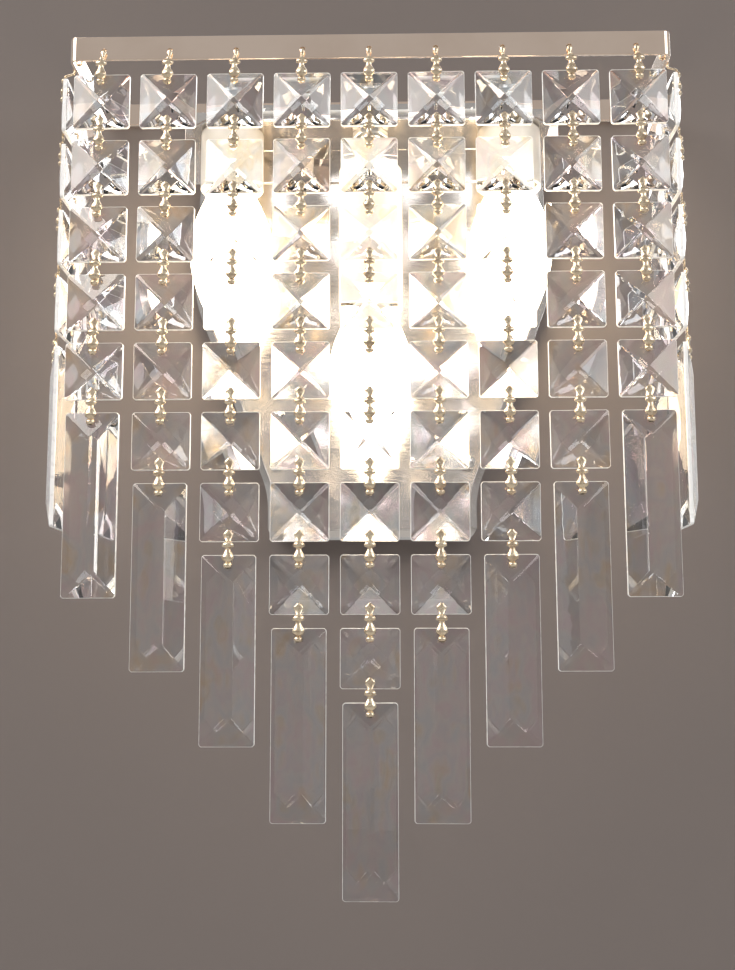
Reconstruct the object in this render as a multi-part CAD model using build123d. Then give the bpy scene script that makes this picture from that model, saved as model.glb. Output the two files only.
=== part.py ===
from build123d import *
import math
import os

# Crystal wall sconce: a chrome band on the wall carries thirteen strands of cut glass
# in front of three candle lamps that hang cap up from a folded carrier.
# Millimetres, +Z up, +X to the right, the wall is the plane Y = 0 and the room is at -Y.
# The origin is midway between the two wall-screw slots, on the wall.
# Turned pieces are drawn with flat sides, their corners on the true circle.

# ---------------------------------------------------------------- cut glass
SQUARE = 24.0
SQUARE_THICK = 9.0
BAR_WIDTH = 22.0
BAR_LENGTH = 76.0
BAR_THICK = 11.0
GIRDLE = 2.4  # thickness left at the rim
EDGE_TO_HOLE = 3.8
DRILL = 1.8  # square pin hole

# ---------------------------------------------------------------- strands
FRONT_SQUARES = (5, 6, 7, 8, 9, 8, 7, 6, 5)  # squares on each front strand
SIDE_SQUARES = 4
SIDE_STRANDS = 2  # on each side
STRAND_GAP = 4.5  # between the squares of neighbouring strands
ROW_GAP = 5.4  # between the squares of one strand
FIRST_DROP = 7.7  # band's bottom edge to the top of the first square
STAND_OFF = 2.0  # glass hangs this far outside the middle of the band
HOOK_HOLE_RISE = 4.0  # hook holes above the band's bottom edge
HOOK_HOLE = 2.2  # across the flats

# ---------------------------------------------------------------- brass clips
WIRE = 0.9  # square prongs
PLATE = 0.8  # stamped face
FACE_GAP = 0.5  # face to the thickest glass at the drilled hole
PRONG_PAST = 0.5  # prong beyond the back of the glass
WING = 4.8  # width of the dome and of the pear
NECK = 2.2
PEAR_RISE = 2.6  # widest point of the pear above the lower prong
NECK_RISE = 5.6
DOME_RISE = 6.9
HOOK_FOLD = 9.0  # top clip folds back to the band this far above its prong
HOOK_GAP = 0.3  # hook leg to the band's face
HOOK_TAIL = 1.6  # turned-up tail behind the band
HOOK_REACH = 2.2  # tail behind the middle of the band

# ---------------------------------------------------------------- band and rear rail
BAND_RISE = 40.0  # bottom edge above the wall slots
BAND_HEIGHT = 10.8
BAND_WALL = 1.2
BAND_CORNER = 3.0  # outside bend radius
BAND_END_CLEAR = 3.0  # last front square to the band's side face
CURTAIN_CLEAR = 7.7  # bulbs to the back of the thickest glass
RAIL_WALL = 1.5

# ---------------------------------------------------------------- back pan
PAN_HEIGHT = 198.0
PAN_DEPTH = 16.0
PAN_WALL = 1.0
PAN_BEVEL = 3.0
PAN_TOP_WIDTH = 157.0
PAN_CHEST_WIDTH = 164.0
PAN_CHEST_DROP = 87.0
PAN_FOOT_WIDTH = 94.0
PAN_ANKLE_DROP = 178.0  # where the sides turn upright again
PAN_TOP_RADIUS = 12.0
PAN_CHEST_RADIUS = 50.0
PAN_ANKLE_RADIUS = 36.0
PAN_FOOT_RADIUS = 5.0

# ---------------------------------------------------------------- wall bracket
BRACKET_WALL = 2.0
SLOT_SPACING = 60.0
SLOT_WIDTH = 5.0
SLOT_LENGTH = 13.0
HEAD_END = 15.0  # plate beyond the slots
HEAD_BELOW = 12.0  # plate below the slots
SPINE_WIDTH = 28.0
CABLE_HOLE = 16.0
LEDGE_WIDTH = 12.0  # tongues that the top of the pan hangs on
LEDGE_REACH = 10.0
LEDGE_SPACING = 60.0
FOOT_BAR_END = 4.0  # bar beyond the studs
FOOT_BAR_HEIGHT = 16.0
STUD = 4.0
STUD_DROP = 168.0  # below the band's bottom edge
STUD_EDGE = 4.0  # studs inside the sides of the pan's foot
STUD_INTO_NUT = 4.0
CAP_NUT_FLATS = 7.0
CAP_NUT_HEX = 3.2
CAP_NUT_DOME = 5.8
CAP_NUT_RISE = 2.9  # dome above the hexagon

# ---------------------------------------------------------------- lamp carrier
CARRIER_WALL = 1.5
WEB_WIDTH = 174.0
WEB_DROP = 36.0  # bottom edge below the band's bottom edge
FLANGE_DROP = 1.1  # flange below the band
PAN_SLACK = 0.4  # above and below the top wall of the pan
LIP_WIDTH = 120.0
LIP_HEIGHT = 9.0  # above the band's bottom edge
SHELF_DROP = 19.0
SHELF_END = 18.0  # shelf beyond the side lamps
SHELF_EDGE = 13.0  # shelf in front of the lamps
SHELF_CORNER = 8.0

# ---------------------------------------------------------------- lamps
LAMP_PITCH = 62.0
LAMP_CLEAR = 2.8  # pan to the bulbs
SLEEVE = 28.0
SLEEVE_WALL = 1.3
SLEEVE_SHOULDER = 1.5  # bevel round the closed top
SIDE_SLEEVE_LENGTH = 27.0
CENTRE_SLEEVE_LENGTH = 65.0
CENTRE_SLEEVE_DROP = 38.0  # top of the centre sleeve below the band
HOLDER_SLACK = 0.3
HOLDER_RECESS = 1.5  # holder's mouth inside the sleeve's end
NIPPLE = 10.0
NIPPLE_BORE = 7.0
NIPPLE_IN_HOLDER = 3.0
NIPPLE_NUT_FLATS = 14.0
NIPPLE_NUT = 3.0
NIPPLE_PROUD = 1.5
THREAD_GAP = 0.02
CAP = 13.8
CAP_LENGTH = 22.0
CAP_TIP = 5.0
CAP_SLACK = 0.3
GLASS_LENGTH = 73.0
GLASS_WIDTH = 36.4
GLASS_SEAT = 19.0  # width where the glass meets the cap
GLASS_TIP = 3.0
GLASS_WIDEST = 27.0  # below the seat
GLASS_BELOW_SLEEVE = 0.5

# ---------------------------------------------------------------- screws and wiring
SCREW = 3.0
SCREW_HEAD = 5.6
SCREW_HEAD_HEIGHT = 1.8
SCREW_REACH = 2.5
SCREW_SLACK = 0.2
LIP_SCREW_EDGE = 10.0  # screws inside the ends of the lip
WEB_SCREW_SPACING = 80.0
WEB_SCREW_DROP = 28.0
BLOCK_HEIGHT = 15.0
BLOCK_DEPTH = 11.0
BLOCK_DROP = 84.0
BLOCK_PITCH = 9.0
BLOCK_WAY = 3.4
BLOCK_GROOVE = 2.0
EARTH_DROP = 116.0
EARTH_HEAD = 7.0
EARTH_HEAD_HEIGHT = 2.4
EARTH_SLOT = 1.0
LEAD = 2.4
LEAD_BEND = 4.0
LEAD_DROP = 11.0  # level of the leads below the band
WINDOW_SLACK = 1.0  # round the leads where they leave the pan

# ---------------------------------------------------------------- flat sides of turned pieces
SLEEVE_SIDES = 20
FITTING_SIDES = 12
BORE_SIDES = 8
LEAD_SIDES = 4
GLASS_SIDES = 20
GLASS_NECK_STEPS = 2
GLASS_TIP_STEPS = 3

# ---------------------------------------------------------------- derived places
STRAND_PITCH = SQUARE + STRAND_GAP
ROW_PITCH = SQUARE + ROW_GAP
LINK_SPAN = ROW_PITCH - (SQUARE - 2 * EDGE_TO_HOLE)
HOOK_SPAN = HOOK_HOLE_RISE + FIRST_DROP + EDGE_TO_HOLE
GLASS_AT_HOLE = GIRDLE / 2 + (BAR_THICK - GIRDLE) * EDGE_TO_HOLE / BAR_WIDTH
FACE_BACK = GLASS_AT_HOLE + FACE_GAP
LAMP_OUT = PAN_DEPTH + LAMP_CLEAR + GLASS_WIDTH / 2
LAMP_X = (-LAMP_PITCH, 0.0, LAMP_PITCH)
BAND_WIDTH = (len(FRONT_SQUARES) - 1) * STRAND_PITCH + SQUARE + 2 * BAND_END_CLEAR
BAND_MIDDLE = LAMP_OUT + GLASS_WIDTH / 2 + CURTAIN_CLEAR + BAR_THICK / 2 - STAND_OFF
BAND_DEPTH = BAND_MIDDLE + BAND_WALL / 2
HOOK_Z = BAND_RISE + HOOK_HOLE_RISE
FLANGE_UNDER = BAND_RISE - FLANGE_DROP - CARRIER_WALL
PAN_TOP = FLANGE_UNDER - PAN_SLACK
LEDGE_TOP = PAN_TOP - PAN_WALL - PAN_SLACK
STUD_Z = BAND_RISE - STUD_DROP
STUD_X = PAN_FOOT_WIDTH / 2 - STUD_EDGE
WEB_FRONT = PAN_DEPTH + CARRIER_WALL
LIP_SCREW_X = LIP_WIDTH / 2 - LIP_SCREW_EDGE
LIP_SCREW_Z = BAND_RISE + LIP_HEIGHT / 2
WEB_SCREW_X = WEB_SCREW_SPACING / 2
WEB_SCREW_Z = BAND_RISE - WEB_SCREW_DROP
SHELF_TOP = BAND_RISE - SHELF_DROP
SHELF_UNDER = SHELF_TOP - CARRIER_WALL
CENTRE_SLEEVE_TOP = BAND_RISE - CENTRE_SLEEVE_DROP
HOLDER_HEIGHT = SIDE_SLEEVE_LENGTH - SLEEVE_WALL - HOLDER_RECESS
HOLDER_WELL = CAP_LENGTH - GLASS_BELOW_SLEEVE - HOLDER_RECESS + CAP_SLACK
NIPPLE_TOP = SHELF_TOP + NIPPLE_NUT + NIPPLE_PROUD
BLOCK_Y = -BRACKET_WALL - BLOCK_DEPTH / 2
BLOCK_Z = BAND_RISE - BLOCK_DROP
WAY_X = (-BLOCK_PITCH, 0.0, BLOCK_PITCH)
LEAD_Z = BAND_RISE - LEAD_DROP


def at(x, y, z):
    return Location((x, y, z))


def upright(sketch):
    """Turn a sketch drawn in X and Z, so that extruding it runs from Y = 0 towards the room."""
    return Plane.XZ * sketch


def outward(shape):
    """Turn a shape that stands along +Z, so that it points from the wall into the room."""
    return Rotation(90, 0, 0) * shape


def mirrored_pair(x, y, z, shape):
    """The shape at both +x and -x."""
    return [at(-x, y, z) * shape, at(x, y, z) * shape]


def slab(width, heights, depths):
    """Box centred in X between two levels and two distances from the wall."""
    low, high = heights
    near, far = depths
    return at(0, -(near + far) / 2, (low + high) / 2) * Box(width, far - near, high - low)


def turned(profile, sides):
    """Flat-sided turned solid from pairs of height and width, from the bottom up."""
    rings = []
    for z, width in profile:
        spokes = [Vector(width / 2, 0, z).rotate(Axis.Z, 360 * i / sides) for i in range(sides)]
        rings.append(spokes)
    panels = [rings[0], rings[-1]]
    for low, high in zip(rings, rings[1:]):
        panels += [[low[i - 1], low[i], high[i], high[i - 1]] for i in range(sides)]
    return Solid(Shell([Face(Wire.make_polygon(panel)) for panel in panels]))


def rod(width, length, sides=BORE_SIDES):
    """Flat-sided round bar that stands on the origin."""
    return extrude(RegularPolygon(width / 2, sides), length)


def bore(width, length):
    """Flat-sided drill centred on the origin, along Y."""
    return at(0, length / 2, 0) * outward(rod(width, length))


# ---------------------------------------------------------------- cut glass


def cut_glass(width, height, thick):
    """A plate with a thin girdle whose faces rise on both sides to a point or a ridge."""
    rim = GIRDLE / 2
    peak = thick / 2
    side = width / 2
    front = [(-side, -rim), (0, -peak), (side, -rim)]
    across = Polyline(*front, *[(x, -y) for x, y in reversed(front)], close=True)
    end = height / 2
    flat = end - side
    ridge = [(-peak, -flat), (-peak, flat)] if flat > 0 else [(-peak, 0)]
    half = [(-rim, -end), *ridge, (-rim, end)]
    along = Polyline(*half, *[(-y, z) for y, z in reversed(half)], close=True)
    column = extrude(make_face(across), end, both=True)
    beam = extrude(Plane.YZ * make_face(along), side, both=True)
    return column & beam


def drilled(glass, *holes):
    """Cut the pin holes, which are square because there are so many of them."""
    for z in holes:
        glass = glass - at(0, 0, z) * Box(DRILL, 2 * BAR_THICK, DRILL)
    return glass


def square_glass():
    """Square drop, origin at its upper hole."""
    hole = SQUARE / 2 - EDGE_TO_HOLE
    return at(0, 0, -hole) * drilled(cut_glass(SQUARE, SQUARE, SQUARE_THICK), hole, -hole)


def bar_glass():
    """Long prism at the foot of a strand, origin at its hole."""
    hole = BAR_LENGTH / 2 - EDGE_TO_HOLE
    return at(0, 0, -hole) * drilled(cut_glass(BAR_WIDTH, BAR_LENGTH, BAR_THICK), hole)


# ---------------------------------------------------------------- brass clips


def clip_face(top):
    """Stamped bow-tie: a pear over the lower glass, a neck, and a dome that tapers to the height top."""
    right = [
        (WIRE / 2, -WIRE / 2),
        (WING / 2, PEAR_RISE),
        (NECK / 2, NECK_RISE),
        (WING / 2, DOME_RISE),
        (WIRE / 2, top),
    ]
    left = [(-x, z) for x, z in reversed(right)]
    face = make_face(Polyline(*right, *left, close=True))
    return at(0, -FACE_BACK, 0) * extrude(upright(face), PLATE)


def prong(z):
    """Square prong from the stamped face through the glass."""
    back = GLASS_AT_HOLE + PRONG_PAST
    return at(0, (back - FACE_BACK) / 2, z) * Box(WIRE, back + FACE_BACK, WIRE)


def clip():
    """Clip between two pieces of glass, origin at its lower prong."""
    return clip_face(LINK_SPAN + WIRE / 2) + prong(0) + prong(LINK_SPAN)


def hook():
    """Top clip: its leg stands in front of the band and its tail turns up behind it."""
    step = HOOK_FOLD - HOOK_SPAN
    front = -FACE_BACK - PLATE
    leg = STAND_OFF - BAND_WALL / 2 - HOOK_GAP
    tail = STAND_OFF + HOOK_REACH
    half = WIRE / 2
    back_edge = [(tail, HOOK_TAIL), (tail, -half), (leg, -half), (leg, step), (front, step)]
    front_edge = [(front, step + PLATE), (leg - PLATE, step + PLATE), (leg - PLATE, half)]
    front_edge += [(tail - PLATE, half), (tail - PLATE, HOOK_TAIL)]
    strip = extrude(Plane.YZ * make_face(Polyline(*back_edge, *front_edge, close=True)), half, both=True)
    return clip_face(HOOK_FOLD + PLATE) + prong(0) + at(0, 0, HOOK_SPAN) * strip


# ---------------------------------------------------------------- strands


def strand(count):
    """Squares, clips and bar of one strand that faces -Y, origin in its hook hole."""
    seats = [at(0, -STAND_OFF, -HOOK_SPAN - ROW_PITCH * i) for i in range(count + 1)]
    squares = [seat * square_glass() for seat in seats[:-1]]
    clips = [seats[0] * hook()] + [seat * clip() for seat in seats[1:]]
    return {"squares": Compound(squares), "links": Compound(clips), "bar": seats[-1] * bar_glass()}


def strand_places():
    """Name, square count and place of each strand."""
    places = []
    middle = (len(FRONT_SQUARES) - 1) / 2
    for i, count in enumerate(FRONT_SQUARES):
        x = (i - middle) * STRAND_PITCH
        places.append((f"front_strand_{i + 1}", count, at(x, -BAND_MIDDLE, HOOK_Z)))
    side = BAND_WIDTH / 2 - BAND_WALL / 2
    for name, sign in (("left", -1), ("right", 1)):
        turn = Rotation(0, 0, 90 * sign)
        for i in range(SIDE_STRANDS):
            y = -BAND_DEPTH + SQUARE / 2 + i * STRAND_PITCH
            places.append((f"{name}_strand_{i + 1}", SIDE_SQUARES, at(sign * side, y, HOOK_Z) * turn))
    return places


# ---------------------------------------------------------------- band and rear rail


def frame_band():
    """Chrome strip bent round the front and both sides, its ends brazed to the rear rail."""
    depth = 2 * (BAND_DEPTH - RAIL_WALL)
    outer = RectangleRounded(BAND_WIDTH, depth, BAND_CORNER)
    inner = RectangleRounded(BAND_WIDTH - 2 * BAND_WALL, depth - 2 * BAND_WALL, BAND_CORNER - BAND_WALL)
    front_half = Pos(0, -depth / 4) * Rectangle(BAND_WIDTH, depth / 2)
    band = at(0, -RAIL_WALL, BAND_RISE) * extrude((outer - inner) & front_half, BAND_HEIGHT)
    hexagon = RegularPolygon(HOOK_HOLE / 2, 6, major_radius=False, rotation=30)
    drill = extrude(upright(hexagon), BAND_WALL, both=True)
    for _, _, place in strand_places():
        band = band - place * drill
    return band


def rear_rail():
    """Flat bar on the wall that closes the band."""
    rail = slab(BAND_WIDTH, (BAND_RISE, BAND_RISE + BAND_HEIGHT), (0, RAIL_WALL))
    for hole in mirrored_pair(LIP_SCREW_X, 0, LIP_SCREW_Z, bore(SCREW + THREAD_GAP, 4 * RAIL_WALL)):
        rail = rail - hole
    return rail


# ---------------------------------------------------------------- back pan


def pan_outline(inset):
    """Shield outline in X and Z, its top edge at Z = 0, drawn smaller by inset."""
    points = [
        (PAN_TOP_WIDTH / 2, 0),
        (PAN_CHEST_WIDTH / 2, -PAN_CHEST_DROP),
        (PAN_FOOT_WIDTH / 2, -PAN_ANKLE_DROP),
        (PAN_FOOT_WIDTH / 2, -PAN_HEIGHT),
    ]
    mirrored = [(-x, z) for x, z in reversed(points)]
    radii = [PAN_TOP_RADIUS, PAN_CHEST_RADIUS, PAN_ANKLE_RADIUS, PAN_FOOT_RADIUS]
    outline = make_face(FilletPolyline(*points, *mirrored, radius=radii + radii[::-1], close=True))
    return offset(outline, -inset) if inset else outline


def pan_blank(inset, depth, bevel):
    """Solid of the pan's outline with its front edge bevelled all round."""
    body = extrude(upright(pan_outline(inset)), depth)
    return chamfer(body.faces().sort_by(Axis.Y)[0].edges(), bevel)


def back_pan():
    """Polished shield-shaped pan, open towards the wall."""
    inner_bevel = PAN_BEVEL - PAN_WALL * (2 - math.sqrt(2))
    shell = pan_blank(0, PAN_DEPTH, PAN_BEVEL) - pan_blank(PAN_WALL, PAN_DEPTH - PAN_WALL, inner_bevel)
    pan = at(0, 0, PAN_TOP) * shell - lead_window()
    holes = mirrored_pair(STUD_X, -PAN_DEPTH, STUD_Z, bore(STUD + 2 * SCREW_SLACK, 4 * PAN_WALL))
    holes += mirrored_pair(WEB_SCREW_X, -PAN_DEPTH, WEB_SCREW_Z, bore(SCREW + THREAD_GAP, 4 * PAN_WALL))
    for hole in holes:
        pan = pan - hole
    return pan


def lead_window():
    """Cut through the pan's face and the carrier's web for the leads."""
    size = LEAD + 2 * WINDOW_SLACK
    levels = (LEAD_Z - size / 2, LEAD_Z + size / 2)
    return slab(WAY_X[-1] - WAY_X[0] + size, levels, (PAN_DEPTH / 2, 2 * WEB_FRONT))


# ---------------------------------------------------------------- wall bracket


def wall_bracket():
    """Pressed plate: head with two slots and two tongues, spine, and foot bar for the studs."""
    head_width = SLOT_SPACING + 2 * HEAD_END
    head = Pos(0, (LEDGE_TOP - HEAD_BELOW) / 2) * Rectangle(head_width, LEDGE_TOP + HEAD_BELOW)
    spine = Pos(0, (STUD_Z - HEAD_BELOW) / 2) * Rectangle(SPINE_WIDTH, -HEAD_BELOW - STUD_Z)
    foot = Pos(0, STUD_Z) * Rectangle(2 * (STUD_X + FOOT_BAR_END), FOOT_BAR_HEIGHT)
    sketch = head + spine + foot - RegularPolygon(CABLE_HOLE / 2, 2 * BORE_SIDES)
    for sign in (-1, 1):
        sketch = sketch - Pos(sign * SLOT_SPACING / 2, 0) * SlotOverall(SLOT_LENGTH, SLOT_WIDTH)
    plate = extrude(upright(sketch), BRACKET_WALL)
    stud_bore = bore(STUD + THREAD_GAP, 4 * BRACKET_WALL)
    for hole in [*mirrored_pair(STUD_X, 0, STUD_Z, stud_bore), at(0, 0, BAND_RISE - EARTH_DROP) * stud_bore]:
        plate = plate - hole
    tongue = slab(LEDGE_WIDTH, (LEDGE_TOP - BRACKET_WALL, LEDGE_TOP), (0, LEDGE_REACH))
    for place in mirrored_pair(LEDGE_SPACING / 2, 0, 0, tongue):
        plate = plate + place
    return plate


def pan_studs():
    return Compound(mirrored_pair(STUD_X, 0, STUD_Z, outward(rod(STUD, PAN_DEPTH + STUD_INTO_NUT))))


def cap_nut():
    """Domed nut, standing on the origin."""
    hexagon = extrude(RegularPolygon(CAP_NUT_FLATS / 2, 6, major_radius=False), CAP_NUT_HEX)
    shoulder = (CAP_NUT_RISE * math.sin(math.pi / 4), CAP_NUT_DOME * math.cos(math.pi / 4))
    dome = turned([(0, CAP_NUT_DOME), shoulder, (CAP_NUT_RISE, CAP_NUT_DOME / 4)], FITTING_SIDES)
    return hexagon + at(0, 0, CAP_NUT_HEX) * dome - rod(STUD + THREAD_GAP, STUD_INTO_NUT + THREAD_GAP)


def cap_nuts():
    return Compound(mirrored_pair(STUD_X, -PAN_DEPTH, STUD_Z, outward(cap_nut())))


# ---------------------------------------------------------------- lamp carrier


def lamp_carrier():
    """Folded bracket: lip on the rail, flange over the pan, web down its face, shelf for the lamps."""
    flange_levels = (FLANGE_UNDER, FLANGE_UNDER + CARRIER_WALL)
    web = slab(WEB_WIDTH, (BAND_RISE - WEB_DROP, flange_levels[1]), (PAN_DEPTH, WEB_FRONT))
    flange = slab(LIP_WIDTH, flange_levels, (RAIL_WALL, WEB_FRONT))
    lip = slab(LIP_WIDTH, (FLANGE_UNDER, BAND_RISE + LIP_HEIGHT), (RAIL_WALL, RAIL_WALL + CARRIER_WALL))
    shelf = slab(2 * (LAMP_PITCH + SHELF_END), (SHELF_UNDER, SHELF_TOP), (WEB_FRONT, LAMP_OUT + SHELF_EDGE))
    shelf = chamfer(shelf.edges().filter_by(Axis.Z).group_by(Axis.Y)[0], SHELF_CORNER)
    carrier = web + flange + lip + shelf - lead_window()
    stem_hole = at(0, 0, -CARRIER_WALL) * rod(NIPPLE + 2 * SCREW_SLACK, 4 * CARRIER_WALL)
    screw_hole = bore(SCREW + 2 * SCREW_SLACK, 4 * CARRIER_WALL)
    holes = [at(x, -LAMP_OUT, SHELF_UNDER) * stem_hole for x in LAMP_X]
    holes += mirrored_pair(LIP_SCREW_X, -RAIL_WALL, LIP_SCREW_Z, screw_hole)
    holes += mirrored_pair(WEB_SCREW_X, -PAN_DEPTH, WEB_SCREW_Z, screw_hole)
    for hole in holes:
        carrier = carrier - hole
    return carrier


# ---------------------------------------------------------------- lamps


def sleeve_length(x):
    return SIDE_SLEEVE_LENGTH if x else CENTRE_SLEEVE_LENGTH


def sleeve_foot(x):
    return (SHELF_UNDER if x else CENTRE_SLEEVE_TOP) - sleeve_length(x)


def nipple_foot(x):
    return sleeve_foot(x) + HOLDER_RECESS + HOLDER_HEIGHT - NIPPLE_IN_HOLDER


def candle_sleeve(x):
    """Candle tube with a closed, bevelled top that a stem passes through."""
    length = sleeve_length(x)
    shoulder = length - SLEEVE_SHOULDER
    body = turned([(0, SLEEVE), (shoulder, SLEEVE), (length, SLEEVE - 2 * SLEEVE_SHOULDER)], SLEEVE_SIDES)
    hollow = rod(SLEEVE - 2 * SLEEVE_WALL, length - SLEEVE_WALL, SLEEVE_SIDES)
    return at(x, -LAMP_OUT, sleeve_foot(x)) * (body - hollow - rod(NIPPLE + 2 * SCREW_SLACK, 2 * length))


def lampholder(x):
    """Moulded cup that takes the bulb's cap from below and the nipple from above."""
    width = SLEEVE - 2 * SLEEVE_WALL - 2 * HOLDER_SLACK
    body = rod(width, HOLDER_HEIGHT, FITTING_SIDES) - rod(CAP + 2 * CAP_SLACK, HOLDER_WELL, FITTING_SIDES)
    body = body - rod(NIPPLE + THREAD_GAP, 2 * HOLDER_HEIGHT)
    return at(x, -LAMP_OUT, sleeve_foot(x) + HOLDER_RECESS) * body


def nipple(x):
    """Threaded tube that hangs a lampholder from the shelf."""
    length = NIPPLE_TOP - nipple_foot(x)
    return at(x, -LAMP_OUT, nipple_foot(x)) * (rod(NIPPLE, length) - rod(NIPPLE_BORE, length))


def nipple_nuts():
    """A nut above the shelf for each lamp; one below it and one in the centre sleeve for the long stem."""
    hexagon = RegularPolygon(NIPPLE_NUT_FLATS / 2, 6, major_radius=False)
    nut = extrude(hexagon, NIPPLE_NUT) - rod(NIPPLE + THREAD_GAP, NIPPLE_NUT)
    places = [(x, SHELF_TOP) for x in LAMP_X]
    places.append((0, SHELF_UNDER - NIPPLE_NUT))
    places.append((0, CENTRE_SLEEVE_TOP - SLEEVE_WALL - NIPPLE_NUT))
    return Compound([at(x, -LAMP_OUT, z) * nut for x, z in places])


def bulb_seat(x):
    """Where the glass of a bulb meets its cap."""
    return at(x, -LAMP_OUT, sleeve_foot(x) - GLASS_BELOW_SLEEVE)


def bulb_cap(x):
    """Screw cap of a candle bulb, contact upwards."""
    shoulder = CAP_LENGTH - (CAP - CAP_TIP) / 4
    return bulb_seat(x) * turned([(0, CAP), (shoulder, CAP), (CAP_LENGTH, CAP_TIP)], FITTING_SIDES)


def bulb_glass(x):
    """Candle-shaped envelope that hangs below the cap."""
    profile = [(-GLASS_LENGTH, GLASS_TIP)]
    for i in range(GLASS_TIP_STEPS - 1, -1, -1):
        share = i / GLASS_TIP_STEPS
        width = GLASS_TIP + (GLASS_WIDTH - GLASS_TIP) * math.cos(share * math.pi / 2)
        profile.append((-GLASS_WIDEST - share * (GLASS_LENGTH - GLASS_WIDEST), width))
    for i in range(GLASS_NECK_STEPS - 1, -1, -1):
        share = i / GLASS_NECK_STEPS
        width = GLASS_SEAT + (GLASS_WIDTH - GLASS_SEAT) * math.sin(share * math.pi / 2)
        profile.append((-share * GLASS_WIDEST, width))
    return bulb_seat(x) * turned(profile, GLASS_SIDES)


# ---------------------------------------------------------------- screws and wiring


def frame_screw():
    """Screw whose head stands on Y = 0 and whose shank runs to the wall."""
    return outward(rod(SCREW_HEAD, SCREW_HEAD_HEIGHT) + at(0, 0, -SCREW_REACH) * rod(SCREW, SCREW_REACH))


def frame_screws():
    """Two through the carrier's lip into the rail and two through its web into the pan."""
    screws = mirrored_pair(LIP_SCREW_X, -RAIL_WALL - CARRIER_WALL, LIP_SCREW_Z, frame_screw())
    screws += mirrored_pair(WEB_SCREW_X, -WEB_FRONT, WEB_SCREW_Z, frame_screw())
    return Compound(screws)


def terminal_block():
    """Three-way strip on the bracket's spine, wire ways running up and down."""
    block = Box(len(WAY_X) * BLOCK_PITCH, BLOCK_DEPTH, BLOCK_HEIGHT)
    for x in WAY_X:
        block = block - at(x, 0, -BLOCK_HEIGHT) * rod(BLOCK_WAY, 2 * BLOCK_HEIGHT)
    for x in (-BLOCK_PITCH / 2, BLOCK_PITCH / 2):
        block = block - at(x, -BLOCK_DEPTH / 2, 0) * Box(BLOCK_GROOVE, BLOCK_DEPTH, BLOCK_HEIGHT)
    return at(0, BLOCK_Y, BLOCK_Z) * block


def earth_screw():
    """Slotted screw in the bracket's spine."""
    slot = at(0, 0, EARTH_HEAD_HEIGHT) * Box(EARTH_HEAD, EARTH_SLOT, 2 * EARTH_SLOT)
    head = rod(EARTH_HEAD, EARTH_HEAD_HEIGHT) - slot
    shank = at(0, 0, -BRACKET_WALL) * rod(STUD, BRACKET_WALL)
    return at(0, -BRACKET_WALL, BAND_RISE - EARTH_DROP) * outward(head + shank)


def lamp_lead(start_x, lamp_x):
    """Insulated lead from the terminal block through pan and web and down a nipple."""
    route = [
        Vector(start_x, BLOCK_Y, BLOCK_Z),
        Vector(start_x, BLOCK_Y, LEAD_Z),
        Vector(start_x, -LAMP_OUT, LEAD_Z),
        Vector(lamp_x, -LAMP_OUT, LEAD_Z),
        Vector(lamp_x, -LAMP_OUT, nipple_foot(lamp_x)),
    ]
    if lamp_x == start_x:
        del route[3]
    path = [route[0]]
    for before, corner, after in zip(route, route[1:], route[2:]):
        path.append(corner + (before - corner).normalized() * LEAD_BEND)
        path.append(corner + (after - corner).normalized() * LEAD_BEND)
    section = Plane(origin=route[0]) * RegularPolygon(LEAD / 2, LEAD_SIDES)
    return sweep(section, path=Polyline(*path, route[-1]), transition=Transition.RIGHT)


# ---------------------------------------------------------------- nodes


def nodes():
    """Every node by name."""
    made = {
        "frame_band": frame_band(),
        "rear_rail": rear_rail(),
        "back_pan": back_pan(),
        "wall_bracket": wall_bracket(),
        "pan_studs": pan_studs(),
        "cap_nuts": cap_nuts(),
        "lamp_carrier": lamp_carrier(),
        "side_candle_sleeves": Compound([candle_sleeve(x) for x in LAMP_X if x]),
        "centre_candle_sleeve": candle_sleeve(0),
        "lampholders": Compound([lampholder(x) for x in LAMP_X]),
        "lamp_nipples": Compound([nipple(x) for x in LAMP_X]),
        "nipple_nuts": nipple_nuts(),
        "bulb_caps": Compound([bulb_cap(x) for x in LAMP_X]),
        "bulb_glasses": Compound([bulb_glass(x) for x in LAMP_X]),
        "frame_screws": frame_screws(),
        "terminal_block": terminal_block(),
        "earth_screw": earth_screw(),
        "lamp_leads": Compound([lamp_lead(start, lamp) for start, lamp in zip(WAY_X, LAMP_X)]),
    }
    for name, count, place in strand_places():
        for piece, shape in strand(count).items():
            made[f"{name}_{piece}"] = place * shape
    return made


os.makedirs("parts", exist_ok=True)
for node, shape in nodes().items():
    export_step(shape, f"parts/{node}.step")
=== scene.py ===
import math
import random

import bmesh
import bpy
from mathutils import Matrix, Vector

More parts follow.
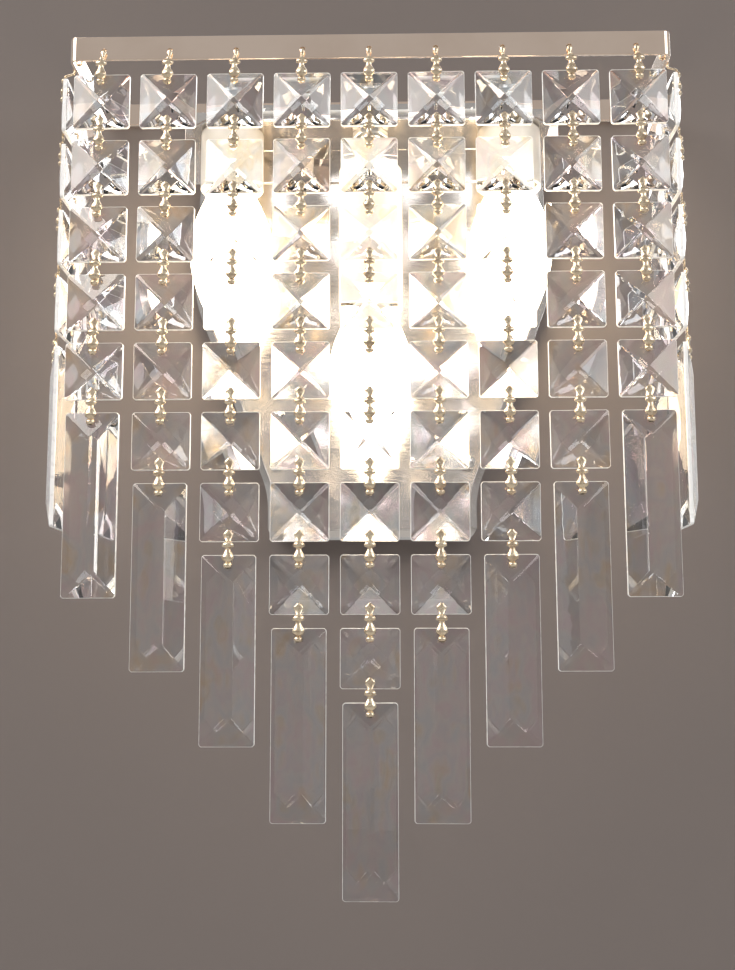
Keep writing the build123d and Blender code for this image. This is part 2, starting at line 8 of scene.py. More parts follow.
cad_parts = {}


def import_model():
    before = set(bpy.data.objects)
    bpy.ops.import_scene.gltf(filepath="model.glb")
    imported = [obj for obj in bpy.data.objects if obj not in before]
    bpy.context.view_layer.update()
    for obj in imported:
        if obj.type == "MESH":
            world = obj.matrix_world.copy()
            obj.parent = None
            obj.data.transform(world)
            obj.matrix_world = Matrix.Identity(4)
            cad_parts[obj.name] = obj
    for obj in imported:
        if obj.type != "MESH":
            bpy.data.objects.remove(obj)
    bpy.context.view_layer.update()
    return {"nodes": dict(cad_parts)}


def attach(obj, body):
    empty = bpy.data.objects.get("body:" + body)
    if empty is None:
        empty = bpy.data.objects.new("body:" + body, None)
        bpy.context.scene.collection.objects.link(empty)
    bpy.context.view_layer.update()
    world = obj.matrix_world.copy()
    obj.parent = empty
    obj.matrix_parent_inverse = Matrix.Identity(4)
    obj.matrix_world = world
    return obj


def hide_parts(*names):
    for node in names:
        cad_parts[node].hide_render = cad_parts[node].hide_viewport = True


# Crystal wall sconce, dressed over its solids. Lengths are millimetres until a piece is gathered.
# +Z up, +X to the right, the wall is the plane Y = 0 and the room is at -Y.

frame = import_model()
dice = random.Random(7)

MM = 0.001

# ---------------------------------------------------------------- sizes, as in the solids
SQUARE, SQUARE_THICK = 24.0, 9.0
BAR_WIDTH, BAR_LENGTH, BAR_THICK = 22.0, 76.0, 11.0
EDGE_TO_HOLE = 3.8
STONE_CORNER = 0.8
DRILL = 1.8
FRONT_SQUARES = (5, 6, 7, 8, 9, 8, 7, 6, 5)
SIDE_SQUARES = 4
STRAND_PITCH, ROW_PITCH = 28.5, 29.4
STAND_OFF, HOOK_SPAN, LINK_SPAN = 2.0, 15.5, 13.0
BAND_MIDDLE, BAND_DEPTH, BAND_WIDTH = 66.4, 67.0, 258.0
BAND_RISE, BAND_HEIGHT, BAND_WALL, BAND_CORNER = 40.0, 10.8, 1.2, 3.0
HOOK_Z = 44.0
HOOK_HOLE = 2.2
RAIL_WALL = 1.5
LAMP_OUT = 37.0
LAMP_X = (-62.0, 0.0, 62.0)
SLEEVE, SLEEVE_WALL, SLEEVE_SHOULDER = 28.0, 1.3, 1.5
SIDE_SLEEVE, CENTRE_SLEEVE = 27.0, 65.0  # lengths
SHELF_TOP, SHELF_UNDER = 21.0, 19.5
CENTRE_TOP = 2.0
HOLDER, HOLDER_HEIGHT, HOLDER_WELL, HOLDER_LIFT = 24.8, 24.2, 20.3, 1.5
STEM_UP, STEM_TOP = 22.7, 25.5  # from the sleeve's foot, and from the origin
STEM_HOLE, STEM_BORE = 5.2, 5.01  # radii in the sleeves, and in the holders and nuts
NUT_FLATS, NUT_HEIGHT = 14.0, 3.0
CAP, CAP_LENGTH, CAP_DROP = 13.8, 22.0, 0.5
GLASS_LENGTH, GLASS_WIDTH, GLASS_SEAT, GLASS_WIDEST = 73.0, 36.4, 19.0, 27.0
PAN_DEPTH = 16.0
STUD, STUD_X, STUD_Z = 3.98, 43.0, -128.0
RAIL_SCREW, WEB_SCREW, EARTH_SCREW = (50.0, -3.0, 44.5), (40.0, -17.5, 12.0), (0, -2.0, -76.0)
CLAMP_X, CLAMP_Y, CLAMP_Z = (-9.0, 0.0, 9.0), -12.7, (-48.0, -40.0)
LEAD, LEAD_Y, LEAD_FOOT, LEAD_TOP, LEAD_BEND = 2.3, -7.5, -44.0, 29.0, 3.5

# ---------------------------------------------------------------- sizes of the scene alone
GIRDLE = 1.6  # thinner than in the solids, as the cut edge shows
STONE_BEVEL = 0.17
TWIST, LEAN = (0.9, 0.7), (0.35, 0.2)  # degrees by which squares and prisms hang out of true
BAND_EASE, BEND_STEPS = 0.35, 8


# ---------------------------------------------------------------- mesh helpers


def skin(rings, loop=False):
    """Closed surface through rings of equal point counts; loop joins the last ring to the first."""
    bm = bmesh.new()
    made = [[bm.verts.new(p) for p in ring] for ring in rings]
    count = len(rings[0])
    pairs = list(zip(made, made[1:]))
    if loop:
        pairs.append((made[-1], made[0]))
    else:
        bm.faces.new(made[0])
        bm.faces.new(made[-1])
    for low, high in pairs:
        for i in range(count):
            bm.faces.new((low[i - 1], low[i], high[i], high[i - 1]))
    bmesh.ops.recalc_face_normals(bm, faces=bm.faces)
    return as_mesh(bm)


def as_mesh(bm):
    mesh = bpy.data.meshes.new("form")
    bm.to_mesh(mesh)
    bm.free()
    return mesh


def circle(radius, z, sides):
    return [(radius * math.cos(a), radius * math.sin(a), z) for a in turns(sides)]


def turns(sides):
    return [2 * math.pi * i / sides for i in range(sides)]


def lathe(profile, sides=32, loop=False):
    """Turned form from pairs of height and radius; loop closes the profile round a bore."""
    return skin([circle(radius, z, sides) for z, radius in profile], loop)


def tube(points, radius, bend=0.0, sides=10):
    """Round wire along points, its corners bent to the radius bend."""
    points = [Vector(p) for p in points]
    path = [points[0]]
    for before, corner, after in zip(points, points[1:], points[2:]):
        one, two = (before - corner).normalized(), (after - corner).normalized()
        half = one.angle(two) / 2
        reach = bend / math.tan(half)
        start, end = corner + one * reach, corner + two * reach
        for i in range(7):
            t = i / 6
            path.append(start * (1 - t) ** 2 + corner * 2 * t * (1 - t) + end * t * t)
    path.append(points[-1])
    side = None
    rings = []
    for i, p in enumerate(path):
        ahead = (path[min(i + 1, len(path) - 1)] - path[max(i - 1, 0)]).normalized()
        side = ahead.orthogonal() if side is None else side - ahead * side.dot(ahead)
        side.normalize()
        up = ahead.cross(side)
        rings.append([p + (side * math.cos(a) + up * math.sin(a)) * radius for a in turns(sides)])
    return skin(rings)


def carved(mesh, tools):
    """The mesh with the tools' volumes taken away."""
    home = bpy.context.collection
    body = bpy.data.objects.new("body", mesh)
    cutter = bpy.data.objects.new("cutter", merged([(tool, Matrix()) for tool in tools]))
    for o in (body, cutter):
        home.objects.link(o)
    cut = body.modifiers.new("cut", "BOOLEAN")
    cut.operation = "DIFFERENCE"
    cut.solver = "EXACT"
    cut.object = cutter
    made = bpy.data.meshes.new_from_object(body.evaluated_get(bpy.context.evaluated_depsgraph_get()))
    for o in (body, cutter):
        bpy.data.objects.remove(o)
    return made


def merged(items):
    """One mesh from pairs of mesh and place."""
    bm = bmesh.new()
    for mesh, place in items:
        old = len(bm.verts)
        bm.from_mesh(mesh)
        bm.verts.ensure_lookup_table()
        bmesh.ops.transform(bm, matrix=place, verts=bm.verts[old:])
    return as_mesh(bm)


def bevelled(mesh, width, segments=2, angle=25):
    """The mesh with its sharp edges rounded."""
    bm = bmesh.new()
    bm.from_mesh(mesh)
    bmesh.ops.remove_doubles(bm, verts=bm.verts, dist=1e-4)
    bmesh.ops.dissolve_limit(bm, angle_limit=math.radians(1), verts=bm.verts, edges=bm.edges)
    sharp = [e for e in bm.edges if len(e.link_faces) == 2 and e.calc_face_angle() > math.radians(angle)]
    bmesh.ops.bevel(
        bm, geom=sharp, offset=width, segments=segments, profile=0.5, affect="EDGES", clamp_overlap=True
    )
    return as_mesh(bm)


def at(x, y, z):
    return Matrix.Translation((x, y, z))


def turned(axis, degrees):
    return Matrix.Rotation(math.radians(degrees), 4, axis)


OUTWARD = turned("X", 90)  # +Z to -Y


def piece(name, body, items, material, nodes, facets=None):
    """Put meshes in place as one object in metres, riding on a body, in place of nodes."""
    mesh = merged([(form, Matrix.Scale(MM, 4) @ place) for form, place in items])
    mesh.name = name
    if facets is None:
        mesh.shade_flat()
    else:
        mesh.shade_smooth()
        mesh.set_sharp_from_angle(angle=math.radians(facets))
    obj = bpy.data.objects.new(name, mesh)
    bpy.context.collection.objects.link(obj)
    for finish in material if isinstance(material, tuple) else (material,):
        mesh.materials.append(finish)
    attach(obj, body)
    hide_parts(*nodes)
    return obj


def fixed(name, items, material, node, facets):
    """A piece that stays on the fitting, in place of one node."""
    return piece(name, "fitting", items, material, [node], facets)


def flat_faces(obj):
    """Keep broad faces flat and let the rounded edges take up the turn of the shading."""
    even = obj.modifiers.new("even", "WEIGHTED_NORMAL")
    even.mode = "FACE_AREA"
    even.weight = 100
    even.keep_sharp = True


def eased(name, width, material, segments=2):
    """The node's own shape with its edges rounded, riding on the fitting."""
    mesh = merged([(frame["nodes"][name].data, Matrix.Scale(1 / MM, 4))])
    form = bevelled(mesh, width, segments)
    flat_faces(fixed(f"{name}_eased", [(form, Matrix())], material, name, 50))


# ---------------------------------------------------------------- materials


class Shader:
    """Principled material with helpers for procedural detail in object space."""

    def __init__(self, name, colour, **settings):
        self.material = bpy.data.materials.new(name)
        self.material.use_nodes = True
        self.nodes = self.material.node_tree.nodes
        self.links = self.material.node_tree.links
        self.base = self.nodes["Principled BSDF"]
        self.base.inputs["Base Color"].default_value = (*colour, 1)
        for key, value in settings.items():
            self.base.inputs[key.replace("_", " ")].default_value = value
        self.place = self.nodes.new("ShaderNodeTexCoord").outputs["Object"]

    def noise(self, scale, stretch=(1, 1, 1), detail=4.0):
        """Noise in object space; scale is in waves per metre."""
        mapping = self.nodes.new("ShaderNodeMapping")
        mapping.inputs["Scale"].default_value = stretch
        self.links.new(self.place, mapping.inputs["Vector"])
        texture = self.nodes.new("ShaderNodeTexNoise")
        texture.inputs["Scale"].default_value = scale
        texture.inputs["Detail"].default_value = detail
        self.links.new(mapping.outputs[0], texture.inputs["Vector"])
        return texture.outputs["Fac"]

    def spread(self, source, low, high, start=0.3, end=0.7):
        """Map a noise to a range of values."""
        change = self.nodes.new("ShaderNodeMapRange")
        change.inputs["From Min"].default_value = start
        change.inputs["From Max"].default_value = end
        change.inputs["To Min"].default_value = low
        change.inputs["To Max"].default_value = high
        self.links.new(source, change.inputs["Value"])
        return change.outputs[0]

    def rough(self, source, low, high):
        self.links.new(self.spread(source, low, high), self.base.inputs["Roughness"])

    def colours(self, source, stops):
        """Colour ramp of (place, colour) on a source."""
        ramp = self.nodes.new("ShaderNodeValToRGB")
        points = ramp.color_ramp.elements
        while len(points) < len(stops):
            points.new(0.5)
        for point, (where, colour) in zip(points, stops):
            point.position = where
            point.color = (*colour, 1)
        self.links.new(source, ramp.inputs[0])
        self.links.new(ramp.outputs[0], self.base.inputs["Base Color"])

    def bump(self, source, depth, strength=0.5):
        """Bump from a source; depth is in metres."""
        node = self.nodes.new("ShaderNodeBump")
        node.inputs["Strength"].default_value = strength
        node.inputs["Distance"].default_value = depth
        self.links.new(source, node.inputs["Height"])
        self.links.new(node.outputs[0], self.base.inputs["Normal"])

    def lets_lamps_through(self, tint):
        """Light from lamps passes with a tint, so that glass doesn't cast black shadows."""
        clear = self.nodes.new("ShaderNodeBsdfTransparent")
        clear.inputs["Color"].default_value = (*tint, 1)
        path = self.nodes.new("ShaderNodeLightPath")
        mix = self.nodes.new("ShaderNodeMixShader")
        self.links.new(path.outputs["Is Shadow Ray"], mix.inputs[0])
        self.links.new(self.base.outputs[0], mix.inputs[1])
        self.links.new(clear.outputs[0], mix.inputs[2])
        self.links.new(mix.outputs[0], self.nodes["Material Output"].inputs["Surface"])


def cut_glass_material(name, ior):
    s = Shader(name, (1, 1, 1), IOR=ior, Transmission_Weight=1.0)
    s.rough(s.noise(60), 0.0, 0.012)
    # painted light: random pink, blue and amber patches in the clear glass stand in for dispersion fire and
    # the warm glow of the lamps
    painted_fire_tints = [
        (0.30, (1.0, 1.0, 1.0)),
        (0.43, (0.99, 0.88, 0.95)),
        (0.48, (1.0, 1.0, 1.0)),
        (0.56, (0.86, 0.93, 1.0)),
        (0.61, (1.0, 1.0, 1.0)),
        (0.68, (1.0, 0.88, 0.68)),
        (0.76, (1.0, 1.0, 1.0)),
    ]
    s.colours(s.noise(95, (1, 1, 0.6), 2.0), painted_fire_tints)
    s.bump(s.noise(140, detail=2.0), 0.00004, 0.25)
    s.lets_lamps_through((0.92, 0.93, 0.94))
    return s.material


def ground_rim_material():
    s = Shader("cut_glass_rim", (1, 1, 1), IOR=1.56, Transmission_Weight=0.15)
    s.rough(s.noise(300), 0.24, 0.36)
    s.bump(s.noise(900, detail=2.0), 0.00001, 0.15)
    s.lets_lamps_through((0.85, 0.86, 0.87))
    return s.material


def brass_material(name, light, dark, low, high):
    s = Shader(name, light, Metallic=1.0)
    s.colours(s.noise(420, detail=5.0), [(0.3, dark), (0.55, light), (0.8, light)])
    s.rough(s.noise(900), low, high)
    s.bump(s.noise(2600, detail=3.0), 0.00002, 0.35)
    return s.material


def plated_material(name, colour, shade, low, high, stretch=(1, 1, 1)):
    s = Shader(name, colour, Metallic=1.0)
    s.colours(s.noise(28, detail=5.0), [(0.3, shade), (0.62, colour), (0.9, colour)])
    s.rough(s.noise(220, stretch, 6.0), low, high)
    s.bump(s.noise(700, stretch, 4.0), 0.000006, 0.15)
    return s.material


def moulded_material(name, colour, shade, low, high, grain):
    s = Shader(name, colour)
    s.colours(s.noise(60, detail=4.0), [(0.3, shade), (0.65, colour), (0.9, colour)])
    s.rough(s.noise(300), low, high)
    s.bump(s.noise(grain, detail=4.0), 0.00005, 0.3)
    return s.material


def lit_glass_material():
    warm = (1.0, 0.82, 0.58)
    s = Shader("warm_opal_glass", (1.0, 0.95, 0.88), Emission_Strength=12.0)
    s.base.inputs["Emission Color"].default_value = (*warm, 1)
    s.rough(s.noise(90), 0.1, 0.2)
    s.bump(s.noise(120), 0.00004, 0.2)
    return s.material


ground_rim = ground_rim_material()
square_glass = (cut_glass_material("cut_glass", 1.68), ground_rim)
prism_glass = (cut_glass_material("cut_glass_prism", 1.56), ground_rim)
brass = brass_material("link_brass", (0.84, 0.71, 0.53), (0.55, 0.41, 0.28), 0.16, 0.34)
cap_brass = brass_material("bulb_cap_brass", (0.78, 0.66, 0.42), (0.56, 0.44, 0.26), 0.24, 0.42)
# painted reflection: the band's chrome is coloured warm tan to stand in for the warm room it mirrors; the
# rear rail shares it
chrome_with_painted_reflection = plated_material("chrome_band", (0.91, 0.75, 0.63), (0.83, 0.67, 0.55), 0.07, 0.13, (1, 1, 3))
polished = plated_material("polished_pan", (0.74, 0.71, 0.68), (0.62, 0.58, 0.55), 0.12, 0.26, (1, 1, 9))
fittings = plated_material("chrome_fittings", (0.82, 0.80, 0.78), (0.66, 0.63, 0.60), 0.06, 0.16)
zinc = plated_material("zinc_steel", (0.64, 0.65, 0.66), (0.48, 0.50, 0.52), 0.28, 0.48, (1, 1, 3))
cream = moulded_material("candle_sleeve", (0.88, 0.84, 0.76), (0.80, 0.75, 0.66), 0.28, 0.42, 500)
black = moulded_material("black_moulding", (0.05, 0.05, 0.05), (0.03, 0.03, 0.03), 0.35, 0.55, 900)
nylon = moulded_material("terminal_nylon", (0.85, 0.84, 0.79), (0.75, 0.73, 0.68), 0.35, 0.5, 700)
sleeving = moulded_material("lead_sleeving", (0.87, 0.87, 0.85), (0.78, 0.77, 0.74), 0.4, 0.6, 1500)
lit = lit_glass_material()


# ---------------------------------------------------------------- cut glass


def stone(width, height, thick):
    """Thin-girdled drop with cut corners whose faces rise to a point or a ridge, centred."""
    a, b, c = width / 2, height / 2, STONE_CORNER
    outline = [(a, b - c), (a - c, b), (c - a, b), (-a, b - c)]
    outline += [(-a, c - b), (c - a, -b), (a - c, -b), (a, c - b)]
    flat = max(b - a, 0)
    bm = bmesh.new()
    rims = []
    for side in (-1, 1):
        rim = [bm.verts.new((x, side * GIRDLE / 2, z)) for x, z in outline]
        top = bm.verts.new((0, side * thick / 2, flat))
        foot = bm.verts.new((0, side * thick / 2, -flat)) if flat else top
        for i, peak in enumerate((top, top, top, None, foot, foot, foot, None)):
            after = rim[(i + 1) % 8]
            if peak:
                bm.faces.new((rim[i], after, peak))
            else:
                near, far = (top, foot) if i == 3 else (foot, top)
                bm.faces.new([rim[i], after, far, near] if flat else [rim[i], after, top])
        rims.append(rim)
    for i in range(8):
        bm.faces.new((rims[0][i - 1], rims[0][i], rims[1][i], rims[1][i - 1]))
    bmesh.ops.recalc_face_normals(bm, faces=bm.faces)
    bmesh.ops.bevel(bm, geom=list(bm.edges), offset=STONE_BEVEL, segments=1, profile=0.5, affect="EDGES")
    return as_mesh(bm)


def drill(z):
    """Bit that reaches through any stone, at a height."""
    bit = lathe([(-12, DRILL / 2), (12, DRILL / 2)], 14)
    return merged([(bit, at(0, 0, z) @ OUTWARD)])


def drilled(mesh, *holes):
    """Pin holes through the glass; the origin moves to the first, the girdle gets the second finish."""
    form = merged([(carved(mesh, [drill(z) for z in holes]), at(0, 0, -holes[0]))])
    for face in form.polygons:
        girdle = all(abs(form.vertices[v].co.y) < GIRDLE / 2 + 0.1 for v in face.vertices)
        face.material_index = 1 if girdle else 0
    return form


SQUARE_HOLE = SQUARE / 2 - EDGE_TO_HOLE
BAR_HOLE = BAR_LENGTH / 2 - EDGE_TO_HOLE
square_form = drilled(stone(SQUARE, SQUARE, SQUARE_THICK), SQUARE_HOLE, -SQUARE_HOLE)
bar_form = drilled(stone(BAR_WIDTH, BAR_LENGTH, BAR_THICK), BAR_HOLE)


# ---------------------------------------------------------------- brass clips

FACE_Y = -3.0  # back of the stamped face
ROOT = 0.5  # depth at which the pins and the hook's wire start inside it
PIN, PIN_BACK, PIN_TAIL = 0.45, 3.0, 2.2  # radius, place of the bent end, its length
HOOK_WIRE, HOOK_LEG = 0.5, 0.55  # radius, place of the leg before the band
HOOK_BACK, HOOK_TAIL = STAND_OFF + 1.75, 1.6


def pressed(profile):
    """Pressed form from (height, width, depth, y of its back), rounded all over."""
    rings = []
    for z, width, depth, back in profile:
        middle = back - depth / 2
        rings.append([(width / 2 * math.cos(a), middle + depth / 2 * math.sin(a), z) for a in turns(16)])
    return skin(rings)


def clip_front(top):
    """Ball, pear, neck and dome, with a tapered tongue that runs up to the height top."""
    return [
        (-2.0, 1.2, 0.8, FACE_Y),
        (-1.75, 2.4, 1.5, FACE_Y),
        (-1.2, 3.3, 2.1, FACE_Y),
        (-0.6, 3.6, 2.3, FACE_Y),
        (0.0, 3.2, 2.0, FACE_Y),
        (0.45, 2.4, 1.5, FACE_Y),
        (0.65, 2.1, 1.3, FACE_Y),
        (0.9, 2.6, 1.4, FACE_Y),
        (1.5, 4.1, 1.9, FACE_Y),
        (2.3, 4.9, 2.2, FACE_Y),
        (3.1, 4.7, 2.1, FACE_Y),
        (4.2, 3.6, 1.7, FACE_Y),
        (5.2, 2.5, 1.4, FACE_Y),
        (6.0, 2.2, 1.3, FACE_Y),
        (6.5, 2.5, 1.3, FACE_Y),
        (6.8, 4.3, 1.7, FACE_Y),
        (7.1, 4.8, 1.9, FACE_Y),
        (7.9, 4.6, 1.9, FACE_Y),
        (8.6, 3.6, 1.6, FACE_Y),
        (9.0, 2.5, 1.1, FACE_Y),
        *top,
    ]


def pin(z, turn):
    """Pin through the glass, its end bent over behind."""
    path = [(0, FACE_Y - ROOT, z), (0, PIN_BACK, z), (0, PIN_BACK, z + PIN_TAIL * turn)]
    return tube(path, PIN, bend=0.7, sides=8)


def clip_form():
    """Clip between two stones, on the hole of the lower one."""
    tongue = [
        (9.4, 2.0, 0.8, FACE_Y),
        (11.8, 4.2, 0.8, FACE_Y),
        (12.3, 3.8, 0.8, FACE_Y),
        (13.2, 2.0, 0.7, FACE_Y),
        (13.7, 1.0, 0.5, FACE_Y),
    ]
    parts = [pressed(clip_front(tongue)), pin(0, 1), pin(LINK_SPAN, -1)]
    return merged([(part, Matrix()) for part in parts])


def hook_form():
    """Top clip: the wire leans back, stands against the band, goes through it and turns up behind."""
    collar = [(9.4, 1.6, 1.0, FACE_Y), (9.8, 1.2, 0.9, FACE_Y)]
    wire = [
        (0, FACE_Y - ROOT, 8.8),
        (0, FACE_Y - 0.4, 10.2),
        (0, HOOK_LEG, 11.3),
        (0, HOOK_LEG, HOOK_SPAN),
        (0, HOOK_BACK, HOOK_SPAN),
        (0, HOOK_BACK, HOOK_SPAN + HOOK_TAIL),
    ]
    tip = [(12.4, 1.1, 0.8, 0.7), (13.6, 2.0, 0.8, 0.7), (14.6, 2.3, 0.9, 0.7), (15.5, 0.7, 0.5, 0.7)]
    parts = [pressed(clip_front(collar)), pin(0, 1), tube(wire, HOOK_WIRE, bend=0.65), pressed(tip)]
    return merged([(part, Matrix()) for part in parts])


clip = clip_form()
hook = hook_form()


# ---------------------------------------------------------------- strands


def strand_places():
    """Name, square count and place of each strand."""
    places = []
    for i, count in enumerate(FRONT_SQUARES):
        places.append((f"front_strand_{i + 1}", count, at((i - 4) * STRAND_PITCH, -BAND_MIDDLE, HOOK_Z)))
    side = BAND_WIDTH / 2 - BAND_WALL / 2
    for name, sign in (("left", -1), ("right", 1)):
        for i in range(2):
            y = -BAND_DEPTH + SQUARE / 2 + i * STRAND_PITCH
            place = at(sign * side, y, HOOK_Z) @ turned("Z", 90 * sign)
            places.append((f"{name}_strand_{i + 1}", SIDE_SQUARES, place))
    return places


def hung(twist, lean):
    """A small turn of one stone on its pin, in degrees."""
    return turned("Z", dice.uniform(-twist, twist)) @ turned("Y", dice.uniform(-lean, lean))


for name, count, place in strand_places():
    seats = [place @ at(0, -STAND_OFF, -HOOK_SPAN - ROW_PITCH * i) for i in range(count + 1)]
    squares = [(square_form, seat @ hung(TWIST[0], LEAN[0])) for seat in seats[:-1]]
    clips = [(hook, seats[0])] + [(clip, seat) for seat in seats[1:]]
    piece(f"{name}_cut_squares", name, squares, square_glass, [f"{name}_squares"])
    piece(f"{name}_clips", name, clips, brass, [f"{name}_links"], facets=50)
    foot = [(bar_form, seats[-1] @ hung(TWIST[1], LEAN[1]))]
    piece(f"{name}_cut_prism", f"{name}_prism", foot, prism_glass, [f"{name}_bar"])


# ---------------------------------------------------------------- band


def band_form():
    """Strip with softened edges, bent round the front and both sides, with round hook holes."""
    half = BAND_WIDTH / 2
    bend = BAND_CORNER - BAND_WALL / 2
    path = [((-half + BAND_WALL / 2, -RAIL_WALL), (-1, 0))]
    for sign in (-1, 1):
        centre = (sign * (half - BAND_CORNER), -BAND_DEPTH + BAND_CORNER)
        steps = range(BEND_STEPS + 1) if sign < 0 else range(BEND_STEPS, -1, -1)
        for i in steps:
            a = math.radians(90 * i / BEND_STEPS)
            out = (sign * math.cos(a), -math.sin(a))
            path.append(((centre[0] + bend * out[0], centre[1] + bend * out[1]), out))
    path.append(((half - BAND_WALL / 2, -RAIL_WALL), (1, 0)))
    wall, high = BAND_WALL / 2 - BAND_EASE, BAND_HEIGHT / 2 - BAND_EASE
    section = []
    for sx, sz, first in ((1, -1, 270), (1, 1, 0), (-1, 1, 90), (-1, -1, 180)):
        for step in (0, 30, 60, 90):
            a = math.radians(first + step)
            section.append((sx * wall + BAND_EASE * math.cos(a), sz * high + BAND_EASE * math.sin(a)))
    rings = []
    for (x, y), (ox, oy) in path:
        rings.append([(x + ox * s, y + oy * s, BAND_RISE + BAND_HEIGHT / 2 + z) for s, z in section])
    bit = lathe([(-3, HOOK_HOLE / 2 + 0.1), (3, HOOK_HOLE / 2 + 0.1)], 16)
    holes = [merged([(bit, place @ OUTWARD)]) for _, _, place in strand_places()]
    return carved(skin(rings), holes)


band = [(band_form(), Matrix())]
flat_faces(fixed("band_bright", band, chrome_with_painted_reflection, "frame_band", 50))
eased("rear_rail", 0.3, chrome_with_painted_reflection)
eased("back_pan", 0.45, polished, 3)
eased("lamp_carrier", 0.3, polished)
eased("wall_bracket", 0.3, zinc)
eased("terminal_block", 0.35, nylon)


# ---------------------------------------------------------------- lamps


def sleeve_foot(x):
    """Height of a candle tube's mouth."""
    return SHELF_UNDER - SIDE_SLEEVE if x else CENTRE_TOP - CENTRE_SLEEVE


def sleeve_form(length):
    """Candle tube with a rounded closed top and a hole for the stem."""
    out, inner = SLEEVE / 2, SLEEVE / 2 - SLEEVE_WALL
    profile = [(0.25, inner), (0, inner + 0.3), (0, out - 0.3), (0.3, out)]
    for i in range(7):
        a = math.radians(15 * i)
        r = SLEEVE_SHOULDER
        profile.append((length - r + r * math.sin(a), out - r + r * math.cos(a)))
    profile += [(length, STEM_HOLE), (length - SLEEVE_WALL, STEM_HOLE), (length - SLEEVE_WALL, inner)]
    return lathe(profile, 48, loop=True)


def holder_form():
    """Moulded cup that takes the cap from below and the stem from above."""
    height, out, mouth = HOLDER_HEIGHT, HOLDER / 2, 7.2
    profile = [(0.4, mouth), (0, mouth + 0.5), (0, out - 0.5), (0.5, out), (height - 0.6, out)]
    profile += [(height, out - 0.6), (height, STEM_BORE), (HOLDER_WELL, STEM_BORE), (HOLDER_WELL, mouth)]
    return lathe(profile, 40, loop=True)


def stem_form(length):
    """Threaded tube."""
    profile = [(0.2, 3.5), (0, 3.7), (0, 4.5)]
    z = 0.5
    while z < length - 1.0:
        profile += [(z, 4.98), (z + 0.5, 4.62)]
        z += 1.0
    profile += [(length, 4.5), (length, 3.7), (length - 0.2, 3.5)]
    return lathe(profile, 20, loop=True)


def nut_form(flats, height, bore):
    """Hexagon nut with rounded corners."""
    corner = flats / math.sqrt(3)
    rings = []
    for z, grow in ((0, 0.94), (height * 0.12, 1.0), (height * 0.88, 1.0), (height, 0.94)):
        ring = []
        for i in range(6):
            one, two = (math.radians(60 * (i + k)) for k in (0, 1))
            for t in (0.06, 0.5, 0.94):
                x = corner * (math.cos(one) * (1 - t) + math.cos(two) * t)
                y = corner * (math.sin(one) * (1 - t) + math.sin(two) * t)
                ring.append((x * grow, y * grow, z))
        rings.append(ring)
    inner = [[(bore * math.cos(a), bore * math.sin(a), z) for a in turns(18)] for z in (height, 0)]
    return skin(rings + inner, loop=True)


def cap_form():
    """Rolled screw cap with an insulating ring and a centre contact."""
    r = CAP / 2
    profile = [(0, r - 0.9), (0.0, r - 0.3), (0.4, r), (1.6, r)]
    z = 2.4
    while z < CAP_LENGTH - 7.0:
        profile += [(z, r - 0.75), (z + 0.7, r - 0.7), (z + 1.4, r), (z + 2.1, r)]
        z += 2.8
    profile += [(z, r - 0.8), (CAP_LENGTH - 3.2, r - 1.4), (CAP_LENGTH - 1.6, 3.6), (CAP_LENGTH - 1.5, 2.4)]
    profile += [(CAP_LENGTH - 0.6, 2.3), (CAP_LENGTH, 1.2)]
    return lathe(profile, 32)


def envelope_form():
    """Candle-shaped glass that hangs below its seat."""
    profile = [(-GLASS_LENGTH, 0.35), (-GLASS_LENGTH + 0.15, 0.9)]
    steps = 26
    for i in range(steps - 1, -1, -1):
        share = i / steps
        width = 3.0 + (GLASS_WIDTH - 3.0) * math.cos(share * math.pi / 2)
        profile.append((-GLASS_WIDEST - share * (GLASS_LENGTH - GLASS_WIDEST), width / 2))
    for i in range(13, -1, -1):
        share = i / 14
        width = GLASS_SEAT + (GLASS_WIDTH - GLASS_SEAT) * math.sin(share * math.pi / 2)
        profile.append((-share * GLASS_WIDEST, width / 2))
    return lathe(profile, 56)


holder, envelope, screw_cap = holder_form(), envelope_form(), cap_form()
seat = {x: at(x, -LAMP_OUT, sleeve_foot(x)) for x in LAMP_X}
stem_foot = {x: sleeve_foot(x) + STEM_UP for x in LAMP_X}
nut = nut_form(NUT_FLATS, NUT_HEIGHT, STEM_BORE)

side_sleeves = [(sleeve_form(SIDE_SLEEVE), seat[x]) for x in LAMP_X if x]
fixed("side_sleeves_round", side_sleeves, cream, "side_candle_sleeves", 40)
centre = [(sleeve_form(CENTRE_SLEEVE), seat[0.0])]
fixed("centre_sleeve_round", centre, cream, "centre_candle_sleeve", 40)
holders = [(holder, seat[x] @ at(0, 0, HOLDER_LIFT)) for x in LAMP_X]
fixed("lampholders_round", holders, black, "lampholders", 40)
stems = [(stem_form(STEM_TOP - stem_foot[x]), at(x, -LAMP_OUT, stem_foot[x])) for x in LAMP_X]
fixed("lamp_stems_threaded", stems, zinc, "lamp_nipples", 40)
nut_seats = [(x, SHELF_TOP) for x in LAMP_X]
nut_seats += [(0, SHELF_UNDER - NUT_HEIGHT), (0, CENTRE_TOP - SLEEVE_WALL - NUT_HEIGHT)]
nuts = [(nut, at(x, -LAMP_OUT, z)) for x, z in nut_seats]
fixed("stem_nuts_hex", nuts, zinc, "nipple_nuts", 25)
caps = [(screw_cap, seat[x] @ at(0, 0, -CAP_DROP)) for x in LAMP_X]
fixed("bulb_caps_rolled", caps, cap_brass, "bulb_caps", 50)
bulbs = [(envelope, seat[x] @ at(0, 0, -CAP_DROP)) for x in LAMP_X]
fixed("bulbs_lit", bulbs, lit, "bulb_glasses", 60)


# ---------------------------------------------------------------- screws, studs and leads


def threaded(radius, length):
    """Fine screw thread, standing on the origin."""
    profile = [(0, radius - 0.35)]
    z = 0.3
    while z < length - 0.6:
        profile += [(z, radius - 0.02), (z + 0.35, radius - 0.28)]
        z += 0.7
    profile.append((length, radius - 0.4))
    return lathe(profile, 20)


